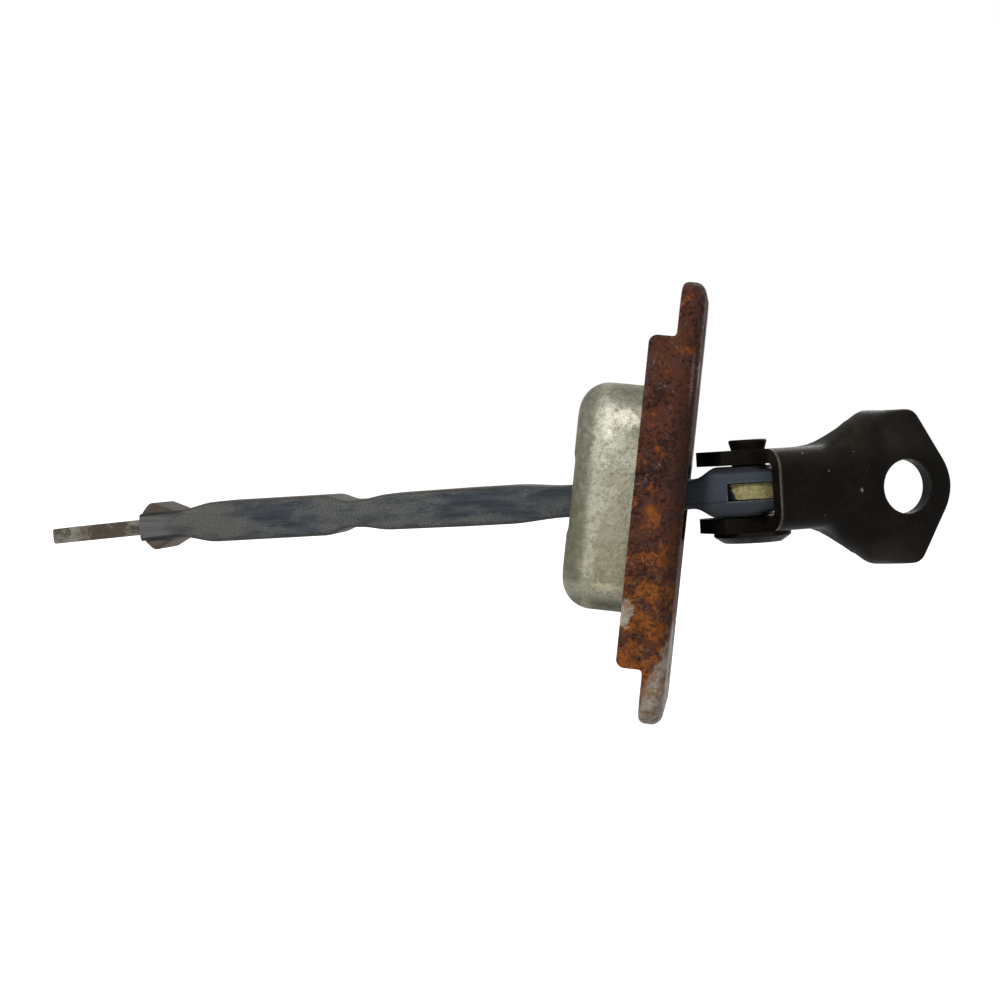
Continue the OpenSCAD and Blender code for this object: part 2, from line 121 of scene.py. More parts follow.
TAIL_BEND = math.radians(2.6)  # how far the strap is bent down behind its eye
TAIL = Matrix.Rotation(-TAIL_BEND, 3, "Y") @ ALONG  # along the bent tail
TAIL_UP = Vector((-TAIL.z, 0.0, TAIL.x))
STOPPER = middle_of(frame["nodes"]["end_stopper"].data.vertices)
STRAP_TURN = (0.0, math.atan2(ALONG.z, ALONG.x), 0.0)  # lays the strap along a pattern's X


# -------- shader building

class Nodes:
    """Short way to add and link nodes in one tree."""

    def __init__(self, tree):
        self.tree = tree

    def add(self, kind, inputs=None, **settings):
        node = self.tree.nodes.new(kind)
        for key, value in settings.items():
            setattr(node, key, value)
        for key, value in (inputs or {}).items():
            self.feed(node.inputs[key], value)
        return node

    def feed(self, socket, value):
        if isinstance(value, bpy.types.NodeSocket):
            self.tree.links.new(value, socket)
        elif socket.type == "RGBA":
            socket.default_value = (*value[:3], 1.0)
        else:
            socket.default_value = value

    def math(self, operation, a, b=0.0, clamp=False):
        return self.add("ShaderNodeMath", {0: a, 1: b}, operation=operation,
                        use_clamp=clamp).outputs[0]

    def times(self, a, b, clamp=False):
        return self.math("MULTIPLY", a, b, clamp)

    def plus(self, a, b, clamp=False):
        return self.math("ADD", a, b, clamp)

    def minus(self, a, b):
        return self.math("SUBTRACT", a, b)

    def most(self, a, b):
        return self.math("MAXIMUM", a, b)

    def power(self, a, b):
        return self.math("POWER", a, b)

    def size(self, a):
        return self.math("ABSOLUTE", a)

    def ramp(self, value, low, high, out_low=0.0, out_high=1.0):
        """Smooth step from out_low, where the value is low, to out_high, where it is high."""
        return self.add("ShaderNodeMapRange", {
            "Value": value, "From Min": low, "From Max": high,
            "To Min": out_low, "To Max": out_high}, interpolation_type="SMOOTHSTEP").outputs[0]

    def mix(self, factor, a, b):
        node = self.add("ShaderNodeMix", data_type="RGBA", blend_type="MIX")
        self.feed(node.inputs[0], factor)
        self.feed(node.inputs[6], a)
        self.feed(node.inputs[7], b)
        return node.outputs[2]

    def blend(self, factor, a, b):
        node = self.add("ShaderNodeMix", data_type="FLOAT")
        self.feed(node.inputs[0], factor)
        self.feed(node.inputs[2], a)
        self.feed(node.inputs[3], b)
        return node.outputs[0]

    def noise(self, vector, scale, detail=3.0, rough=0.55, distortion=0.0):
        return self.add("ShaderNodeTexNoise", {
            "Vector": vector, "Scale": scale, "Detail": detail, "Roughness": rough,
            "Distortion": distortion}).outputs["Fac"]

    def stretched(self, vector, share):
        """The vector with its X scaled, so a pattern on it is drawn out along X."""
        return self.add("ShaderNodeMapping", {
            "Vector": vector, "Scale": (share, 1.0, 1.0)}).outputs[0]

    def dot(self, a, b):
        return self.add("ShaderNodeVectorMath", {0: a, 1: b},
                        operation="DOT_PRODUCT").outputs["Value"]


def shader_group(name, inputs, outputs, build):
    """Makes a shader node group; build gets its node builder, input sockets and output sockets."""
    tree = bpy.data.node_groups.new(name, "ShaderNodeTree")
    for title, kind, default in inputs:
        socket = tree.interface.new_socket(title, in_out="INPUT", socket_type="NodeSocket" + kind)
        if default is not None:
            socket.default_value = (*default, 1.0) if kind == "Color" else default
    for title, kind in outputs:
        tree.interface.new_socket(title, in_out="OUTPUT", socket_type="NodeSocket" + kind)
    nodes = Nodes(tree)
    build(nodes, nodes.add("NodeGroupInput").outputs, nodes.add("NodeGroupOutput").inputs)
    return tree


# -------- shared surface effects

def build_mottle(n, inp, out):
    """Three scales of cloudiness over one surface."""
    vector = inp["Vector"]
    n.feed(out["Clouds"], n.ramp(n.noise(vector, 0.13, 5.0, 0.6), 0.34, 0.66))
    n.feed(out["Blotches"], n.ramp(n.noise(vector, 0.55, 5.0, 0.6, 0.2), 0.34, 0.66))
    n.feed(out["Grain"], n.noise(vector, 4.5, 3.0, 0.7))


def build_edge_wear(n, inp, out):
    """Where convex edges are rubbed, broken up by noise."""
    bevel = n.add("ShaderNodeBevel", {"Radius": inp["Radius"]}, samples=4)
    flat = n.add("ShaderNodeNewGeometry")
    turned = n.ramp(n.dot(bevel.outputs[0], flat.outputs["Normal"]), 0.995, 0.88)
    broken = n.ramp(n.noise(inp["Vector"], 1.6, 4.0, 0.65), 0.36, 0.6)
    n.feed(out["Mask"], n.times(turned, n.times(broken, inp["Amount"]), clamp=True))


def build_scratches(n, inp, out):
    """Fine drawn-out scratches along the X of the vector, and the soft streaks between them."""
    stretched = n.stretched(inp["Vector"], 0.07)
    lines = n.noise(stretched, 4.5, 3.0, 0.6, 0.2)
    streaks = n.noise(stretched, 1.3, 4.0, 0.6, 0.3)
    patches = n.ramp(n.noise(inp["Vector"], 0.22, 2.0), 0.42, 0.62)
    n.feed(out["Mask"], n.times(n.ramp(lines, 0.6, 0.72), patches))
    n.feed(out["Streaks"], n.ramp(streaks, 0.36, 0.64))
    n.feed(out["Height"], lines)


def build_rust(n, inp, out):
    """Granular rust: dark scale, red-brown body, orange blooms, purple crust and pale specks."""
    vector = inp["Vector"]
    grain = n.noise(vector, 1.25, 5.0, 0.72)
    patch = n.noise(vector, 0.2, 4.0, 0.6)
    bloom = n.noise(vector, 0.33, 6.0, 0.68)
    crust = n.noise(vector, 0.42, 5.0, 0.7)
    specks = n.noise(vector, 2.2, 2.0, 0.6)
    tone = n.plus(n.times(grain, 0.55), n.times(patch, 0.45))
    shade = n.mix(n.ramp(tone, 0.42, 0.54), inp["Dark"], inp["Body"])
    purple = n.times(n.ramp(crust, 0.5, 0.62), n.ramp(grain, 0.4, 0.62, 0.25, 1.0))
    shade = n.mix(n.times(purple, 0.55), shade, inp["Crust"])
    hot = n.plus(bloom, n.times(inp["Bloom"], 0.16))
    flame = n.times(n.ramp(hot, 0.55, 0.72), n.ramp(grain, 0.4, 0.56, 0.3, 1.0))
    shade = n.mix(flame, shade, inp["Orange"])
    dust = n.times(n.ramp(specks, 0.6, 0.7), n.ramp(crust, 0.46, 0.6))
    n.feed(out["Colour"], n.mix(n.times(dust, 0.7), shade, inp["Dust"]))
    n.feed(out["Roughness"], n.ramp(grain, 0.3, 0.7, 0.85, 0.55))
    n.feed(out["Height"], n.plus(grain, n.times(specks, 0.5)))


# each shared group: its inputs with their defaults, its outputs and its builder
VECTOR = ("Vector", "Vector", None)
SHARED_GROUPS = {
    "mottle": ([VECTOR], [("Clouds", "Float"), ("Blotches", "Float"), ("Grain", "Float")],
               build_mottle),
    "edge_wear": ([VECTOR, ("Radius", "Float", 0.0006), ("Amount", "Float", 1.0)],
                  [("Mask", "Float")], build_edge_wear),
    "scratches": ([VECTOR], [("Mask", "Float"), ("Streaks", "Float"), ("Height", "Float")],
                  build_scratches),
    "rust": ([VECTOR, ("Dark", "Color", (0.03, 0.011, 0.006)),
              ("Body", "Color", (0.1, 0.032, 0.014)), ("Orange", "Color", (0.3, 0.085, 0.013)),
              ("Crust", "Color", (0.052, 0.037, 0.04)), ("Dust", "Color", (0.2, 0.16, 0.16)),
              ("Bloom", "Float", 0.0)],
             [("Colour", "Color"), ("Roughness", "Float"), ("Height", "Float")], build_rust),
}


def groups():
    """The shared shader groups, made when the first piece asks for them."""
    names = {key: key.replace("_", " ").capitalize() for key in SHARED_GROUPS}
    for key, parts in SHARED_GROUPS.items():
        if names[key] not in bpy.data.node_groups:
            shader_group(names[key], *parts)
    return {key: bpy.data.node_groups[title] for key, title in names.items()}


class Finish:
    """A material under way: its nodes, millimetre coordinates and the shared groups."""

    def __init__(self, name, groups, turn=None):
        self.material = bpy.data.materials.new(name)
        self.material.use_nodes = True
        tree = self.material.node_tree
        tree.nodes.clear()
        self.n = Nodes(tree)
        self.groups = groups
        in_metres = self.n.add("ShaderNodeTexCoord").outputs["Object"]
        self.place = self.vector = self.n.add("ShaderNodeMapping", {
            "Vector": in_metres, "Scale": (1 / MM, 1 / MM, 1 / MM)}).outputs[0]
        if turn is not None:
            self.vector = self.n.add("ShaderNodeMapping", {
                "Vector": self.place, "Rotation": turn}).outputs[0]
        self.x, self.y, self.z = self.n.add(
            "ShaderNodeSeparateXYZ", {"Vector": self.place}).outputs

    def offset(self, origin_mm):
        return self.n.add("ShaderNodeVectorMath", {0: self.place, 1: tuple(origin_mm)},
                          operation="SUBTRACT").outputs[0]

    def along(self, direction, origin):
        """Millimetres along a direction from a point of the frame."""
        return self.n.dot(self.offset(Vector(origin) / MM), tuple(direction))

    def spot(self, middle, reach):
        """1 at a place of the frame given in mm, falling to 0 at its reach on each axis."""
        scaled = self.n.add("ShaderNodeVectorMath", {
            0: self.offset(middle), 1: tuple(1 / r for r in reach)},
            operation="MULTIPLY").outputs[0]
        far = self.n.add("ShaderNodeVectorMath", {0: scaled}, operation="LENGTH").outputs["Value"]
        return self.n.ramp(far, 1.0, 0.0)

    def facing(self, direction):
        """How far the surface faces a direction of the frame, from -1 to 1."""
        normal = self.n.add("ShaderNodeNewGeometry").outputs["Normal"]
        return self.n.dot(normal, tuple(direction))

    def group(self, key, **inputs):
        node = self.n.add("ShaderNodeGroup", node_tree=self.groups[key])
        self.n.feed(node.inputs["Vector"], self.vector)
        for title, value in inputs.items():
            self.n.feed(node.inputs[title], value)
        return node.outputs

    def bump(self, height, distance, strength=1.0):
        return self.n.add("ShaderNodeBump", {
            "Strength": strength, "Distance": distance, "Height": height}).outputs[0]

    def close(self, base, roughness, metallic, normal, specular=None, tint=None):
        """Ends the material with its shader and returns it."""
        shader = self.n.add("ShaderNodeBsdfPrincipled", {
            "Base Color": base, "Roughness": roughness, "Metallic": metallic, "Normal": normal})
        if specular is not None:
            self.n.feed(shader.inputs["Specular IOR Level"], specular)
        if tint is not None:
            self.n.feed(shader.inputs["Specular Tint"], tint)
        end = self.n.add("ShaderNodeOutputMaterial", {"Surface": shader.outputs[0]})
        end.is_active_output = True
        return self.material


# -------- finishes
# Lengths are in mm, since Finish reads its coordinates in mm. A mark is (middle, reach) of a spot.

ORANGE_GLOW = ((-6.1, -17.5, -1.3), (1.7, 4.0, 1.5))
ZINC_BESIDE_CASE = ((-9.2, -17.5, -20.8), (3.4, 6.0, 5.0))
KNOCKS_ON_BEND = ((-0.9, -17.5, 23.5), (0.55, 3.0, 7.0))
BARE_STEEL = (0.3, 0.25, 0.22)


def rusty_plate(groups, s):
    """Rust, with painted shade at the bend, orange low down, with patches of surviving zinc."""
    f = Finish("plate_rust", groups)
    n = f.n
    cloud = f.group("mottle")
    # fresh orange rust gathers low on the plate
    rust = f.group("rust", Dark=s.rust_dark, Body=s.rust_body, Orange=s.rust_orange,
                   Bloom=n.ramp(f.z, 8.0, -20.0, s.bloom * 0.05, s.bloom))
    ragged = n.noise(f.vector, 0.42, 6.0, 0.72)
    zinc = n.mix(n.ramp(ragged, 0.38, 0.6), s.zinc_stained, s.zinc)
    creep = n.times(n.minus(ragged, 0.5), 26.0)
    # the bend into the outer face is painted dark as painted shade, darkest at the strap
    bend_shade = n.times(n.ramp(f.x, -4.4, -1.6), n.ramp(n.size(f.z), 32.0, 10.0, 0.25, 1.0))
    base = n.mix(n.times(bend_shade, 0.75), rust["Colour"], s.rust_dark)
    glow = n.times(f.spot(*ORANGE_GLOW), n.ramp(ragged, 0.3, 0.5))
    base = n.mix(glow, base, s.rust_orange)
    # the coating survives at the lower end, beside the case and along the outer face's far edge;
    # away from the front side the edge of each patch wanders
    wander = n.times(n.minus(n.noise(f.vector, 0.075, 3.0, 0.6), 0.5), 34.0)
    wander = n.times(wander, n.ramp(f.y, -16.0, -6.0))
    low_end = n.plus(n.times(f.x, -3.0), n.plus(f.z, n.plus(creep, wander)))
    low_end = n.ramp(low_end, -21.5, -26.0)
    beside = n.plus(f.spot(*ZINC_BESIDE_CASE), n.times(creep, 0.07))
    far_edge = n.plus(f.y, n.times(n.plus(creep, wander), 0.6))
    far_edge = n.times(n.ramp(far_edge, 6.0, 11.0),
                       n.ramp(n.plus(f.z, n.plus(creep, wander)), 0.0, 14.0))
    outer = n.times(n.ramp(f.x, -0.6, -0.1), n.most(far_edge, n.ramp(creep, 3.0, 4.0, 0.0, 0.5)))
    keep = n.most(n.most(low_end, n.ramp(beside, 0.25, 0.5)), outer)
    keep = n.times(keep, n.ramp(cloud["Grain"], 0.36, 0.5, 0.45, 1.0))
    base = n.mix(keep, base, zinc)
    # yellow-brown stain where rust creeps into the surviving coating
    stain = n.times(n.ramp(f.z, -8.0, -20.0), n.ramp(n.noise(f.vector, 0.5, 5.0, 0.7), 0.52, 0.62))
    stain = n.times(stain, n.ramp(f.z, -43.0, -33.0, 0.35, 1.0))
    base = n.mix(n.times(stain, 0.65), base, s.stain)
    # a run of knocks shows bare metal along the bend
    knock = n.times(f.spot(*KNOCKS_ON_BEND), n.ramp(cloud["Grain"], 0.46, 0.56))
    base = n.mix(n.times(knock, 0.8), base, BARE_STEEL)
    rough = n.blend(keep, rust["Roughness"], 0.5)
    normal = f.bump(rust["Height"], 0.0004, n.blend(keep, 0.9, 0.35))
    return f.close(base, rough, n.times(keep, 0.2), normal, specular=0.1)


DULL_PATCH = ((-13.4, -14.4, -6.0), (3.6, 8.0, 6.0))
# painted highlights on the case's side, high up and along the foot
HIGH_HIGHLIGHTS = (((-15.4, -14.4, 13.8), (3.4, 9.0, 7.5)), ((-12.6, -14.4, 15.2), (6.5, 9.0, 4.6)))
FOOT_HIGHLIGHT = ((-12.8, -14.4, -16.8), (6.0, 6.0, 2.0))
SHADED_ZINC = (0.06, 0.055, 0.035)
DULL_ZINC = (0.24, 0.215, 0.19)
FRECKLE = (0.07, 0.066, 0.048)


def zinc_case(groups, s):
    """Zinc plate, with painted shade on the rounded edges and painted highlights high and low on
    its sides.
    """
    f = Finish("case_zinc", groups)
    n = f.n
    cloud = f.group("mottle")
    patch = n.noise(f.vector, 0.09, 4.0, 0.55)
    base = n.mix(n.ramp(patch, 0.38, 0.62), s.zinc, s.zinc_pale)
    base = n.mix(n.times(n.ramp(f.z, 14.0, -18.0), 0.75), base, s.yellow)
    # painted shade darkens the rounded edges, broken up by blotches, and the bottom end
    wander = n.times(n.minus(n.noise(f.vector, 0.5, 4.0, 0.6), 0.5), 4.0)
    round_edge = n.ramp(n.plus(f.x, wander), -16.8, -19.6)
    ends = n.most(n.ramp(n.plus(f.z, wander), 17.4, 20.8),
                  n.ramp(n.plus(f.z, wander), -18.6, -21.0))
    edge_shade_and_tarnish = n.times(n.most(round_edge, n.times(ends, 0.85)),
                      n.ramp(cloud["Blotches"], 0.0, 1.0, 0.72, 1.08))
    base = n.mix(n.times(edge_shade_and_tarnish, 0.8), base, s.edge_shade_and_tarnish)
    base = n.mix(n.ramp(f.z, -18.0, -20.2, 0.0, 0.82), base, SHADED_ZINC)
    # a painted highlight runs down beside the rounded edge and along the foot
    band = n.times(n.ramp(n.plus(f.x, wander), -15.0, -16.4), n.ramp(f.x, -18.6, -17.2))
    foot = n.times(n.ramp(f.z, -15.5, -17.5), n.ramp(f.z, -20.6, -18.6))
    pale_highlight = n.most(band, foot)
    base = n.mix(n.times(pale_highlight, 0.5), base, s.zinc_pale)
    mottle = n.times(n.ramp(n.noise(f.vector, 1.3, 5.0, 0.75), 0.45, 0.62), 0.5)
    base = n.mix(mottle, base, s.edge_shade_and_tarnish)
    # painted highlights high on the side and along the foot, and duller zinc between them
    base = n.mix(n.times(f.spot(*DULL_PATCH), 0.45), base, DULL_ZINC)
    sparkle = n.noise(f.vector, 1.5, 5.0, 0.75)
    flecks = n.times(n.minus(n.plus(sparkle, n.noise(f.vector, 0.6, 4.0, 0.7)), 1.0), 2.1)
    high = n.most(f.spot(*HIGH_HIGHLIGHTS[0]), f.spot(*HIGH_HIGHLIGHTS[1]))
    base = n.mix(n.ramp(n.plus(high, flecks), 0.35, 1.2), base, s.rubbed)
    base = n.mix(n.ramp(n.plus(f.spot(*FOOT_HIGHLIGHT), flecks), 0.3, 1.1), base, s.foot_highlight_zinc)
    freckles = n.ramp(n.noise(f.vector, 2.1, 3.0, 0.7), 0.6, 0.7)
    base = n.mix(n.times(freckles, 0.55), base, FRECKLE)
    bright = n.ramp(n.noise(f.vector, 1.7, 5.0, 0.75), 0.5, 0.64)
    rough = n.ramp(n.plus(cloud["Grain"], n.times(cloud["Clouds"], 0.3)), 0.3, 0.95, 0.36, 0.5)
    rough = n.minus(rough, n.times(bright, 0.13))
    rough = n.plus(rough, n.times(edge_shade_and_tarnish, 0.12))
    height = n.plus(cloud["Grain"], n.times(cloud["Blotches"], 0.8))
    return f.close(base, rough, 0.45, f.bump(height, 0.00012, 0.9), tint=(0.6, 0.6, 0.5))


def plain_metal(groups, name, dark, light, metallic=0.85, low=0.28, high=0.5):
    """Metal between two tones, scratched, with its roughness between low and high."""
    f = Finish(name, groups)
    n = f.n
    cloud = f.group("mottle")
    marks = f.group("scratches")
    base = n.mix(cloud["Blotches"], dark, light)
    base = n.mix(n.times(marks["Mask"], 0.5), base, [min(1, c * 1.4) for c in light])
    rough = n.ramp(cloud["Grain"], 0.3, 0.7, low, high)
    height = n.plus(marks["Height"], cloud["Grain"])
    return f.close(base, rough, metallic, f.bump(height, 0.00004, 0.6))


def plain_moulding(groups, name, dark, light, roughness=0.6):
    """Moulded rubber or plastic between two tones, paler where its edges are rubbed."""
    f = Finish(name, groups)
    n = f.n
    cloud = f.group("mottle")
    base = n.mix(cloud["Clouds"], dark, light)
    rubbed = f.group("edge_wear", Radius=0.0005, Amount=0.4)["Mask"]
    base = n.mix(rubbed, base, [min(1, c * 1.5 + 0.01) for c in light])
    rough = n.ramp(cloud["Grain"], 0.3, 0.7, roughness - 0.08, roughness + 0.1)
    return f.close(base, rough, 0.0, f.bump(cloud["Grain"], 0.00005, 0.6))


TAIL_STAIN = (0.042, 0.03, 0.016)
WINDOW_DULL = (0.2, 0.175, 0.085)
WINDOW_SHADE = (0.01, 0.011, 0.013)
BRIGHT_SCRATCH = (0.4, 0.38, 0.3)


def strap_steel(groups, s):
    """Bar: stained zinc at the bare tail, yellow zinc where the window shows it."""
    f = Finish("strap_steel", groups, turn=STRAP_TURN)
    n = f.n
    cloud = f.group("mottle")
    marks = f.group("scratches")
    tail = n.mix(cloud["Blotches"], s.tail_dark, s.tail_light)
    spots = n.noise(f.vector, 0.7, 5.0, 0.68)
    patch = n.times(n.ramp(f.x, -118.5, -115.5), n.ramp(f.x, -109.0, -111.0))
    stain = n.ramp(n.plus(spots, n.times(patch, 0.22)), 0.5, 0.62)
    tail = n.mix(n.times(stain, 0.9), tail, TAIL_STAIN)
    yellowing = n.ramp(n.noise(f.vector, 1.1, 4.0, 0.7), 0.36, 0.64)
    fresh = n.mix(yellowing, WINDOW_DULL, s.yellow)
    ragged = n.plus(f.along(ALONG, PIN), n.times(n.noise(f.vector, 0.5, 3.0, 0.6), 2.4))
    ragged = n.plus(ragged, n.times(f.along(UP, PIN), 0.45))
    fresh = n.mix(n.ramp(ragged, -1.9, -2.3), fresh, WINDOW_SHADE)
    base = n.mix(n.ramp(f.x, -60.0, -40.0), tail, fresh)
    base = n.mix(n.times(marks["Mask"], 0.3), base, BRIGHT_SCRATCH)
    rough = n.ramp(cloud["Grain"], 0.3, 0.7, 0.42, 0.62)
    height = n.plus(marks["Height"], n.times(cloud["Grain"], 1.5))
    metallic = n.times(n.minus(1.0, stain), 0.25)
    return f.close(base, rough, metallic, f.bump(height, 0.00012, 0.8), specular=0.2)


BROWN_SCUFF = (0.09, 0.075, 0.058)
PALE_SCRATCH = (0.14, 0.145, 0.14)
EYE_BLUE = (0.046, 0.056, 0.074)
EYE_SHADE = (0.02, 0.025, 0.032)
EAR_SHADE_BLACK = (0.008, 0.009, 0.011)
SEAM_DARK = (0.012, 0.012, 0.012)
PARTING_DARK = (0.012, 0.015, 0.02)
RUBBED_PLASTIC = (0.15, 0.15, 0.13)
SEAM_LEVEL = (1.9, 2.25)  # above and below the stopper's middle
PARTING_LEVEL = 1.75  # below the strap's middle


def jacket_plastic(groups, s):
    """Slate plastic, streaked and chalky along its sides, with brown grease on its broad faces."""
    f = Finish("jacket_plastic", groups, turn=STRAP_TURN)
    n = f.n
    cloud = f.group("mottle")
    marks = f.group("scratches")
    slate = n.mix(marks["Streaks"], s.slate_dark, s.slate)
    # chalk is rubbed into the grain, most of all low down, at the half-open notch and the stopper
    level, reach = f.along(UP, PIN), f.along(ALONG, PIN)
    notch = n.times(n.ramp(reach, -90.0, -79.0), n.ramp(reach, -52.0, -70.0))
    neck = n.times(n.ramp(reach, -94.0, -103.0), n.ramp(reach, -117.0, -108.0))
    low_side = n.ramp(level, 1.2, -2.6, 0.0, 0.55)
    where = n.most(n.most(notch, neck), low_side)
    drift = n.noise(n.stretched(f.vector, 0.3), 0.5, 5.0, 0.66)
    chalk = n.ramp(n.plus(drift, n.times(where, 0.2)), 0.45, 0.75)
    fine = n.noise(n.stretched(f.vector, 0.45), 6.0, 2.0, 0.7)
    chalk = n.times(chalk, n.ramp(fine, 0.4, 0.6, 0.3, 1.2))
    chalk = n.times(chalk, n.ramp(reach, -16.0, -40.0, 0.15, 1.0))
    rail = n.times(n.ramp(reach, -111.0, -116.0), n.ramp(marks["Streaks"], 0.0, 1.0, 0.6, 1.0))
    base = n.mix(n.times(n.most(chalk, rail), s.chalk), slate, s.chalk_colour)
    base = n.mix(n.times(neck, n.times(drift, 0.6)), base, BROWN_SCUFF)
    broad = n.times(n.ramp(n.size(f.facing(UP)), 0.45, 0.9), n.ramp(f.x, 2.0, -4.0))
    grease = n.times(broad, n.ramp(cloud["Blotches"], 0.0, 1.0, 0.65, 1.0))
    base = n.mix(grease, base, s.grease)
    base = n.mix(n.times(marks["Mask"], 0.4), base, PALE_SCRATCH)
    # the eye is cleaner and bluer, with painted shade low down, and painted black shade lies
    # between it and the bracket's ears
    eye = n.ramp(reach, -14.0, -8.0)
    base = n.mix(n.times(eye, 0.75), base, n.mix(n.ramp(level, 0.5, -3.5), EYE_BLUE, EYE_SHADE))
    ear_shade = n.most(n.ramp(level, 3.3, 4.0), n.most(
        n.ramp(level, -4.1, -4.7), n.ramp(n.size(f.facing(UP)), 0.3, 0.7)))
    ear_shade = n.times(ear_shade, n.ramp(n.plus(reach, n.times(drift, 4.0)), -7.0, -4.0))
    base = n.mix(n.times(ear_shade, 0.9), base, EAR_SHADE_BLACK)
    # a dark seam shows where the stopper sits on the jacket
    seam = n.times(n.ramp(n.size(f.along(TAIL_UP, STOPPER)), *SEAM_LEVEL),
                   n.ramp(reach, -110.0, -112.5))
    base = n.mix(n.times(seam, 0.85), base, SEAM_DARK)
    # parting line of the mould, from the case to the eye's window
    parting = n.times(n.ramp(n.size(n.plus(level, PARTING_LEVEL)), 0.2, 0.06),
                      n.times(n.ramp(reach, -24.0, -12.0), n.ramp(reach, -3.9, -4.6)))
    base = n.mix(n.times(parting, 0.75), base, PARTING_DARK)
    wear = n.ramp(level, 0.5, -2.0, 0.4, 1.1)
    rubbed = f.group("edge_wear", Radius=0.0006, Amount=wear)["Mask"]
    base = n.mix(rubbed, base, RUBBED_PLASTIC)
    rough = n.ramp(cloud["Grain"], 0.3, 0.7, 0.5, 0.7)
    height = n.plus(marks["Height"], cloud["Grain"])
    return f.close(base, rough, 0.0, f.bump(height, 0.00015, 0.9), specular=0.15)


BROWN_STAIN = (0.075, 0.048, 0.03)
DUSTY_PLASTIC = (0.12, 0.094, 0.076)
RUBBED_STOPPER = (0.15, 0.14, 0.115)


def stopper_plastic(groups, s):
    """Olive-grey plastic with brown stains, dustier below the strap."""
    f = Finish("stopper_plastic", groups, turn=STRAP_TURN)
    n = f.n
    cloud = f.group("mottle")
    base = n.mix(cloud["Blotches"], s.stopper_dark, s.stopper)
    stain = n.ramp(n.noise(f.vector, 0.3, 5.0, 0.66), 0.5, 0.62)
    base = n.mix(n.times(stain, 0.6), base, BROWN_STAIN)
    base = n.mix(n.ramp(f.along(UP, PIN), -1.0, -3.0, 0.0, 0.6), base, DUSTY_PLASTIC)
    rubbed = f.group("edge_wear", Radius=0.0005, Amount=0.45)["Mask"]
    base = n.mix(rubbed, base, RUBBED_STOPPER)
    rough = n.ramp(cloud["Grain"], 0.3, 0.7, 0.55, 0.72)
    return f.close(base, rough, 0.0, f.bump(cloud["Grain"], 0.0001, 0.8), specular=0.15)


FAINT_SCRATCH = (0.03, 0.027, 0.021)
BARE_CHIP = (0.3, 0.28, 0.24)
BORE_BLACK = (0.002, 0.002, 0.002)
BORE_WALL = BOLT["dims"]["r_mm"]  # from the bolt hole's axis to its wall
WEB_FACE = 11.5  # from the pin out to the web's face
# chips on the web's face: along it from the pin, up from the pin, radius
WEB_CHIPS = ((17.9, -1.1, 0.5), (10.9, 3.0, 0.22), (9.5, -5.5, 0.3), (17.8, -11.6, 0.4))


def black_coating(groups, s):
    """Thin black-olive coating, brassy where the pressed edges rub, with nicks and scratches."""
    f = Finish("bracket_coating", groups, turn=(0.0, 0.4, 0.5))
    n = f.n
    cloud = f.group("mottle")
    marks = f.group("scratches")
    reach, level, out = f.along(WEB_ALONG, PIN), f.along(UP, PIN), f.along(WEB_OUT, PIN)
    base = n.mix(n.times(cloud["Clouds"], cloud["Blotches"]), s.coating, s.coating_warm)
    # painted sheen, lighter and browner, towards the flare's upper and lower edges
    flare_sheen = n.most(n.ramp(level, 2.5, 8.5), n.ramp(level, -9.0, -15.0))
    flare_sheen = n.times(flare_sheen, n.times(n.ramp(out, 6.0, 9.0),
                                 n.ramp(cloud["Clouds"], 0.0, 1.0, 0.35, 1.0)))
    base = n.mix(n.times(flare_sheen, 0.8), base, s.flare_sheen)
    base = n.mix(n.times(marks["Mask"], 0.3), base, FAINT_SCRATCH)
    nicks = n.add("ShaderNodeTexVoronoi", {
        "Vector": f.vector, "Scale": 0.3, "Randomness": 1.0}, feature="F1")
    nick = n.times(n.ramp(nicks.outputs["Distance"], 0.07, 0.035),
                   n.ramp(n.noise(f.vector, 1.4, 2.0), 0.56, 0.64))
    chipped = n.ramp(n.noise(f.vector, 2.4, 2.0, 0.6), 0.4, 0.5)
    for along, up, size in WEB_CHIPS:
        place = (PIN + (WEB_ALONG * along + UP * up) * MM) / MM + WEB_OUT * WEB_FACE
        chip = n.times(f.spot(place, (size, size * 2, size * 1.4)), chipped)
        nick = n.most(nick, chip)
    base = n.mix(n.times(nick, 0.8), base, BARE_CHIP)
    # the web's cut edge is painted bright all along
    rim = n.times(n.ramp(reach, 0.95, 0.3),
                  n.times(n.ramp(f.facing(WEB_OUT), 0.05, 0.35), n.ramp(out, 7.0, 9.5)))
    rim = n.times(rim, n.ramp(n.noise(f.vector, 0.9, 4.0, 0.65), 0.34, 0.56, 0.4, 1.0))
    base = n.mix(n.times(rim, 0.9), base, s.bright_brass)
    wear = n.ramp(reach, 1.0, 4.0, 0.12, s.edge_wear)
    rubbed = f.group("edge_wear", Radius=0.0007, Amount=wear)["Mask"]
    base = n.mix(rubbed, base, s.brass)
    # no light reaches the bolt hole's wall
    bore = n.power(n.plus(n.power(f.along(WEB_ALONG, BOLT["pos_m"]), 2.0),
                          n.power(f.along(UP, BOLT["pos_m"]), 2.0)), 0.5)
    base = n.mix(n.ramp(bore, BORE_WALL + 0.1, BORE_WALL - 0.1, 0.0, 0.85), base, BORE_BLACK)
    rough = n.plus(cloud["Grain"], n.times(cloud["Blotches"], 0.2))
    rough = n.ramp(rough, 0.3, 0.85, 0.34, 0.52)
    metallic = n.times(n.most(n.most(rubbed, rim), nick), 0.4)
    height = n.plus(n.times(cloud["Grain"], 0.6), n.times(nick, -1.5))
    return f.close(base, rough, metallic, f.bump(height, 0.00007, 0.8), specular=0.05)


# -------- meshes

